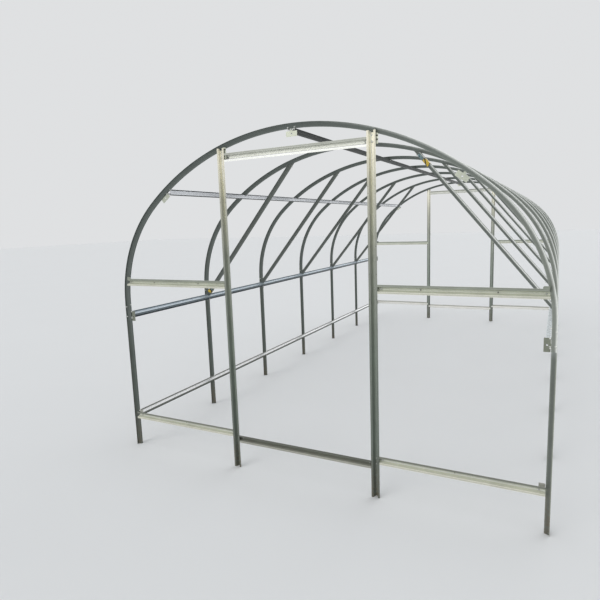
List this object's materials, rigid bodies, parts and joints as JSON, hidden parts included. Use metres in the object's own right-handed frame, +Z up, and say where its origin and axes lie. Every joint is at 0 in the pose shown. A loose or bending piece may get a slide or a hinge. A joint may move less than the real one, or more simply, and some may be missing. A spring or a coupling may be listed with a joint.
{
  "type": "greenhouse frame",
  "caption": "Bare arched greenhouse frame of galvanised rolled hat section: arches on nested legs, diagonal struts, longerons and end walls with a doorway each",
  "frame": {"origin": "on the ground, at the middle of the house", "axes": "X to the right seen from the front, Y back along the ridge, Z up"},
  "size_m": [3, 6, 2.3278],
  "materials": {
    "hat_steel": "galvanised, satin",
    "plate_steel": "galvanised, bright"
  },
  "bodies": {
    "root": {"arch_1": "hat_steel", "arch_2": "hat_steel", "arch_3": "hat_steel", "arch_4": "hat_steel", "arch_5": "hat_steel", "arch_6": "hat_steel", "arch_7": "hat_steel", "legs_1": "hat_steel", "legs_2": "hat_steel", "legs_3": "hat_steel", "legs_4": "hat_steel", "legs_5": "hat_steel", "legs_6": "hat_steel", "legs_7": "hat_steel", "struts_2": "hat_steel", "struts_3": "hat_steel", "struts_4": "hat_steel", "struts_5": "hat_steel", "struts_6": "hat_steel", "longeron_bottom_left": "hat_steel", "longeron_middle_left": "hat_steel", "longeron_middle_right": "hat_steel", "longeron_upper_left": "hat_steel", "longeron_ridge": "hat_steel", "front_post_left": "hat_steel", "front_post_right": "hat_steel", "front_bottom_rail_left": "hat_steel", "front_bottom_rail_right": "hat_steel", "front_girt_left": "hat_steel", "front_girt_right": "hat_steel", "front_threshold": "hat_steel", "front_header": "hat_steel", "front_plates": "plate_steel", "back_post_left": "hat_steel", "back_post_right": "hat_steel", "back_bottom_rail_left": "hat_steel", "back_bottom_rail_right": "hat_steel", "back_girt_left": "hat_steel", "back_girt_right": "hat_steel", "back_threshold": "hat_steel", "back_header": "hat_steel", "back_plates": "plate_steel"}
  },
  "joints": []
}
